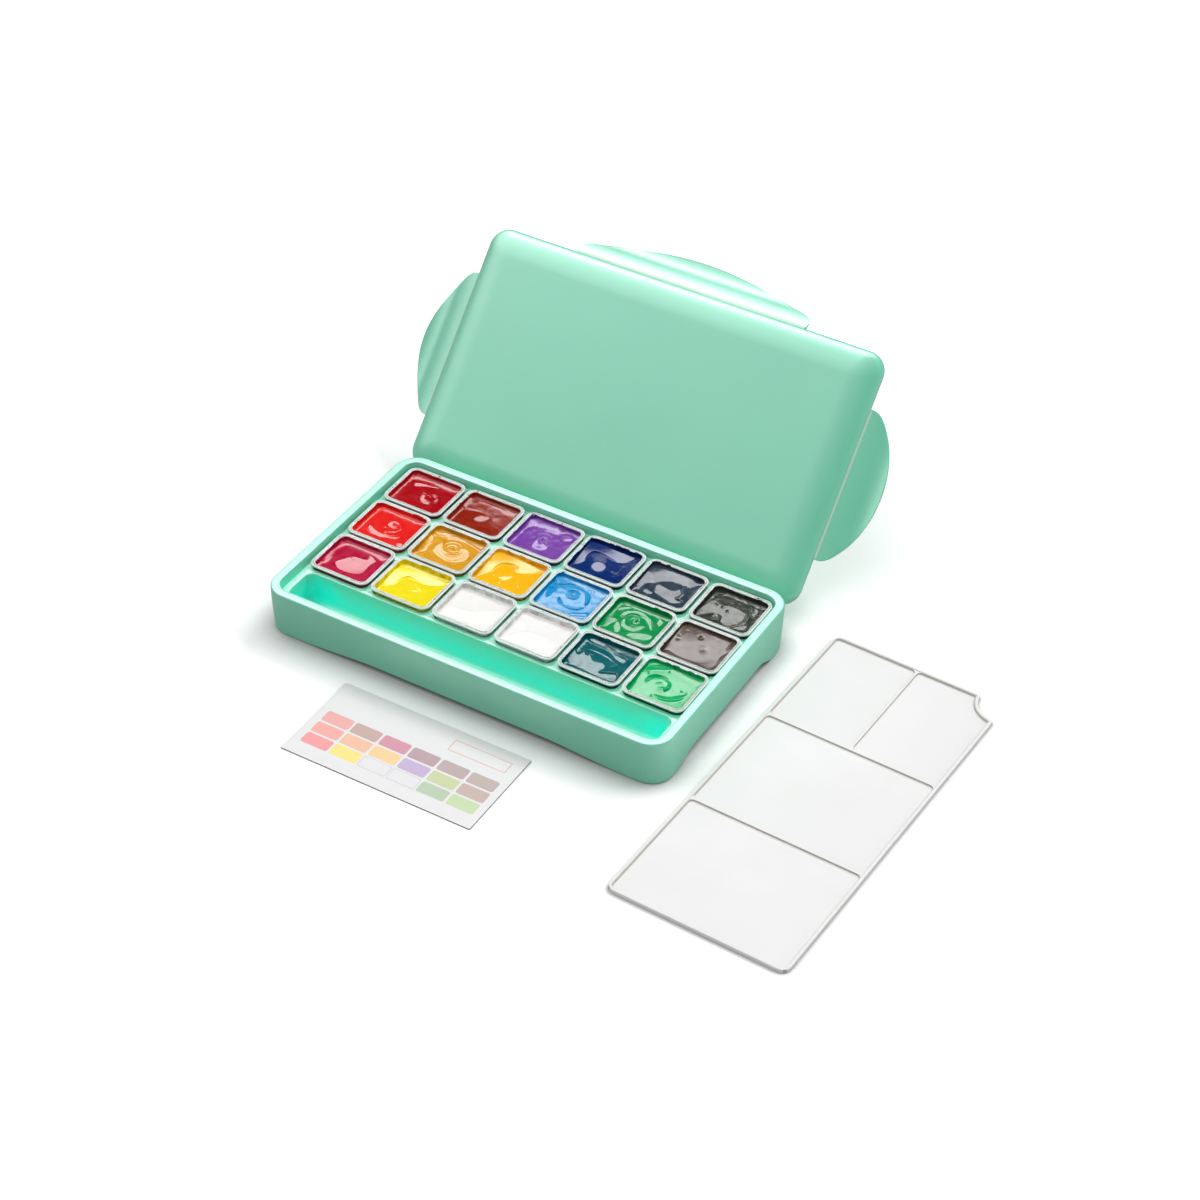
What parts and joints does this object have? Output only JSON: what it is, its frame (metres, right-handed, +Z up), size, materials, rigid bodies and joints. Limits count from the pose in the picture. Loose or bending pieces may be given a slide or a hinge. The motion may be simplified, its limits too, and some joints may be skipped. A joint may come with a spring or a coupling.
{
  "type": "gouache paint set box",
  "caption": "Open gouache paint set: footed tray of colour cups with a brush trough, lid with hinged flaps leaning behind it, mixing palette and colour card.",
  "frame": {"origin": "middle of the laid-out set's footprint, on the table that it all stands on", "axes": "+X along the tray's long side, with the palette at the right; +Y from the tray's front to the lid behind it; +Z up"},
  "size_m": [0.4856, 0.4284, 0.1529],
  "materials": {
    "mint_plastic": "satin moulded",
    "cup_plastic": "clear, smooth",
    "palette_plastic": "smooth moulded",
    "card_stock": "satin print",
    "paint_crimson": "wet gloss",
    "paint_burnt_sienna": "wet gloss",
    "paint_violet": "wet gloss",
    "paint_navy": "wet gloss",
    "paint_slate": "wet gloss",
    "paint_black": "wet gloss",
    "paint_vermilion": "wet gloss",
    "paint_ochre": "wet gloss",
    "paint_orange_yellow": "wet gloss",
    "paint_sky_blue": "wet gloss",
    "paint_green": "wet gloss",
    "paint_umber": "wet gloss",
    "paint_magenta": "wet gloss",
    "paint_lemon": "wet gloss",
    "paint_white": "wet gloss",
    "paint_second_white": "wet gloss",
    "paint_teal": "wet gloss",
    "paint_bright_green": "wet gloss"
  },
  "bodies": {
    "tray": {"base_tray": "mint_plastic"},
    "crimson_cup": {"cup_crimson": "cup_plastic", "paint_crimson": "paint_crimson"},
    "burnt_sienna_cup": {"cup_burnt_sienna": "cup_plastic", "paint_burnt_sienna": "paint_burnt_sienna"},
    "violet_cup": {"cup_violet": "cup_plastic", "paint_violet": "paint_violet"},
    "navy_cup": {"cup_navy": "cup_plastic", "paint_navy": "paint_navy"},
    "slate_cup": {"cup_slate": "cup_plastic", "paint_slate": "paint_slate"},
    "black_cup": {"cup_black": "cup_plastic", "paint_black": "paint_black"},
    "vermilion_cup": {"cup_vermilion": "cup_plastic", "paint_vermilion": "paint_vermilion"},
    "ochre_cup": {"cup_ochre": "cup_plastic", "paint_ochre": "paint_ochre"},
    "orange_yellow_cup": {"cup_orange_yellow": "cup_plastic", "paint_orange_yellow": "paint_orange_yellow"},
    "sky_blue_cup": {"cup_sky_blue": "cup_plastic", "paint_sky_blue": "paint_sky_blue"},
    "green_cup": {"cup_green": "cup_plastic", "paint_green": "paint_green"},
    "umber_cup": {"cup_umber": "cup_plastic", "paint_umber": "paint_umber"},
    "magenta_cup": {"cup_magenta": "cup_plastic", "paint_magenta": "paint_magenta"},
    "lemon_cup": {"cup_lemon": "cup_plastic", "paint_lemon": "paint_lemon"},
    "white_cup": {"cup_white": "cup_plastic", "paint_white": "paint_white"},
    "second_white_cup": {"cup_second_white": "cup_plastic", "paint_second_white": "paint_second_white"},
    "teal_cup": {"cup_teal": "cup_plastic", "paint_teal": "paint_teal"},
    "bright_green_cup": {"cup_bright_green": "cup_plastic", "paint_bright_green": "paint_bright_green"},
    "lid": {"lid_shell": "mint_plastic"},
    "lower_flap": {"lower_flap": "mint_plastic"},
    "right_flap": {"right_flap": "mint_plastic"},
    "upper_flap": {"upper_flap": "mint_plastic"},
    "left_flap": {"left_flap": "mint_plastic"},
    "palette": {"palette": "palette_plastic"},
    "colour_card": {"colour_card": "card_stock"}
  },
  "joints": [
    {"name": "crimson_cup_lift", "type": "slide", "parent": "tray", "child": "crimson_cup", "axis": [0, 0, 1], "range_m": [0, 0.06]},
    {"name": "burnt_sienna_cup_lift", "type": "slide", "parent": "tray", "child": "burnt_sienna_cup", "axis": [0, 0, 1], "range_m": [0, 0.06]},
    {"name": "violet_cup_lift", "type": "slide", "parent": "tray", "child": "violet_cup", "axis": [0, 0, 1], "range_m": [0, 0.06]},
    {"name": "navy_cup_lift", "type": "slide", "parent": "tray", "child": "navy_cup", "axis": [0, 0, 1], "range_m": [0, 0.06]},
    {"name": "slate_cup_lift", "type": "slide", "parent": "tray", "child": "slate_cup", "axis": [0, 0, 1], "range_m": [0, 0.06]},
    {"name": "black_cup_lift", "type": "slide", "parent": "tray", "child": "black_cup", "axis": [0, 0, 1], "range_m": [0, 0.06]},
    {"name": "vermilion_cup_lift", "type": "slide", "parent": "tray", "child": "vermilion_cup", "axis": [0, 0, 1], "range_m": [0, 0.06]},
    {"name": "ochre_cup_lift", "type": "slide", "parent": "tray", "child": "ochre_cup", "axis": [0, 0, 1], "range_m": [0, 0.06]},
    {"name": "orange_yellow_cup_lift", "type": "slide", "parent": "tray", "child": "orange_yellow_cup", "axis": [0, 0, 1], "range_m": [0, 0.06]},
    {"name": "sky_blue_cup_lift", "type": "slide", "parent": "tray", "child": "sky_blue_cup", "axis": [0, 0, 1], "range_m": [0, 0.06]},
    {"name": "green_cup_lift", "type": "slide", "parent": "tray", "child": "green_cup", "axis": [0, 0, 1], "range_m": [0, 0.06]},
    {"name": "umber_cup_lift", "type": "slide", "parent": "tray", "child": "umber_cup", "axis": [0, 0, 1], "range_m": [0, 0.06]},
    {"name": "magenta_cup_lift", "type": "slide", "parent": "tray", "child": "magenta_cup", "axis": [0, 0, 1], "range_m": [0, 0.06]},
    {"name": "lemon_cup_lift", "type": "slide", "parent": "tray", "child": "lemon_cup", "axis": [0, 0, 1], "range_m": [0, 0.06]},
    {"name": "white_cup_lift", "type": "slide", "parent": "tray", "child": "white_cup", "axis": [0, 0, 1], "range_m": [0, 0.06]},
    {"name": "second_white_cup_lift", "type": "slide", "parent": "tray", "child": "second_white_cup", "axis": [0, 0, 1], "range_m": [0, 0.06]},
    {"name": "teal_cup_lift", "type": "slide", "parent": "tray", "child": "teal_cup", "axis": [0, 0, 1], "range_m": [0, 0.06]},
    {"name": "bright_green_cup_lift", "type": "slide", "parent": "tray", "child": "bright_green_cup", "axis": [0, 0, 1], "range_m": [0, 0.06]},
    {"name": "lid_lift", "type": "slide", "parent": "tray", "child": "lid", "axis": [0, 0, 1], "range_m": [0, 0.2]},
    {"name": "lower_flap_hinge", "type": "hinge", "parent": "lid", "child": "lower_flap", "pos_m": [-0.06344, 0.06945, 0.0132], "axis": [1, 0, 0], "range_deg": [-100.7, 0]},
    {"name": "right_flap_hinge", "type": "hinge", "parent": "lid", "child": "right_flap", "pos_m": [0.08886, 0.12933, 0.07924], "axis": [0, 0.6717, 0.7408], "range_deg": [-7, 93]},
    {"name": "upper_flap_hinge", "type": "hinge", "parent": "lid", "child": "upper_flap", "pos_m": [-0.06344, 0.18922, 0.14529], "axis": [-1, 0, 0], "range_deg": [-30, 70]},
    {"name": "left_flap_hinge", "type": "hinge", "parent": "lid", "child": "left_flap", "pos_m": [-0.21574, 0.12933, 0.07924], "axis": [0, -0.6717, -0.7408], "range_deg": [-7, 93]},
    {"name": "palette_lift", "type": "slide", "parent": "tray", "child": "palette", "axis": [0, 0, 1], "range_m": [0, 0.1]},
    {"name": "card_lift", "type": "slide", "parent": "tray", "child": "colour_card", "axis": [0, 0, 1], "range_m": [0, 0.1]}
  ]
}
